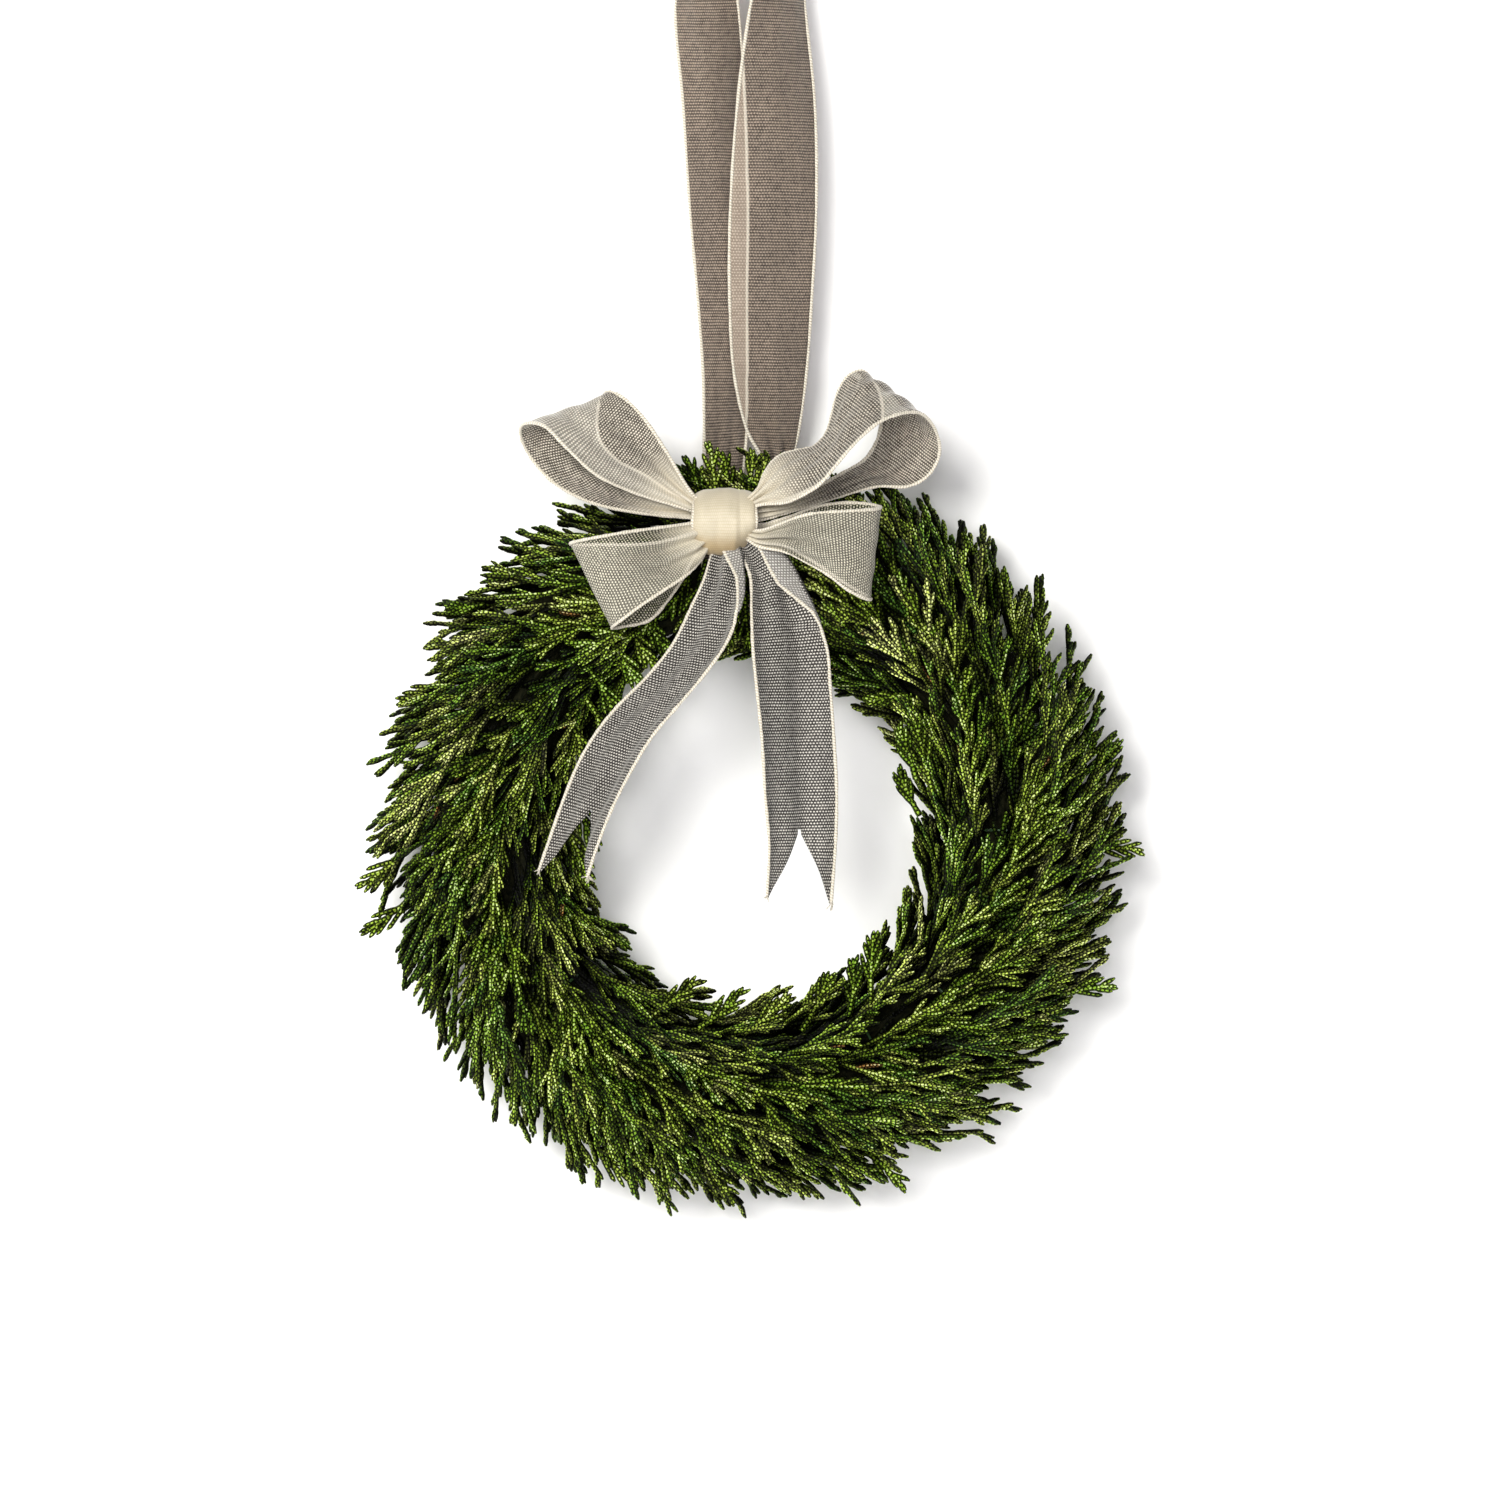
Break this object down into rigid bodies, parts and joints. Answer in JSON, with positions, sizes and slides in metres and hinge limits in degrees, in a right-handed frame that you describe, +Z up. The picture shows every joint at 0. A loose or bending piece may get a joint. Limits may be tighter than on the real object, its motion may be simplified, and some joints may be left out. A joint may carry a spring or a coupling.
{
  "type": "door wreath",
  "caption": "Small evergreen door wreath of scale-leaved conifer sprays on a hoop, with a sheer ribbon bow, two tails and a ribbon loop to hang it by.",
  "frame": {"origin": "where the inside of the ribbon loop rests on its hook", "axes": "+Z up along the hanging ribbon, -Y out of the wreath's front, +Y towards the door, +X to the right as seen from the front"},
  "size_m": [0.2091, 0.0647, 0.3799],
  "materials": {
    "conifer": "fresh green scale leaves",
    "ribbon": "sheer open plain weave",
    "ribbon_knot": "several layers, dense",
    "hoop_wood": "bare bark",
    "wire": "green enamel"
  },
  "bodies": {
    "root": {"foliage_bunch_01": "conifer", "foliage_bunch_02": "conifer", "foliage_bunch_03": "conifer", "foliage_bunch_04": "conifer", "foliage_bunch_05": "conifer", "foliage_bunch_06": "conifer", "foliage_bunch_07": "conifer", "foliage_bunch_08": "conifer", "foliage_bunch_09": "conifer", "foliage_bunch_10": "conifer", "foliage_bunch_11": "conifer", "foliage_bunch_12": "conifer", "foliage_bunch_13": "conifer", "foliage_bunch_14": "conifer", "foliage_bunch_15": "conifer", "foliage_bunch_16": "conifer", "foliage_bunch_17": "conifer", "foliage_bunch_18": "conifer", "bow_loop_upper_left": "ribbon", "bow_loop_lower_left": "ribbon", "bow_loop_upper_right": "ribbon", "bow_loop_lower_right": "ribbon", "bow_tail_left": "ribbon", "bow_tail_right": "ribbon", "hanger_ribbon": "ribbon", "bow_knot": "ribbon_knot", "hoop": "hoop_wood", "binding_wire": "wire"}
  },
  "joints": []
}
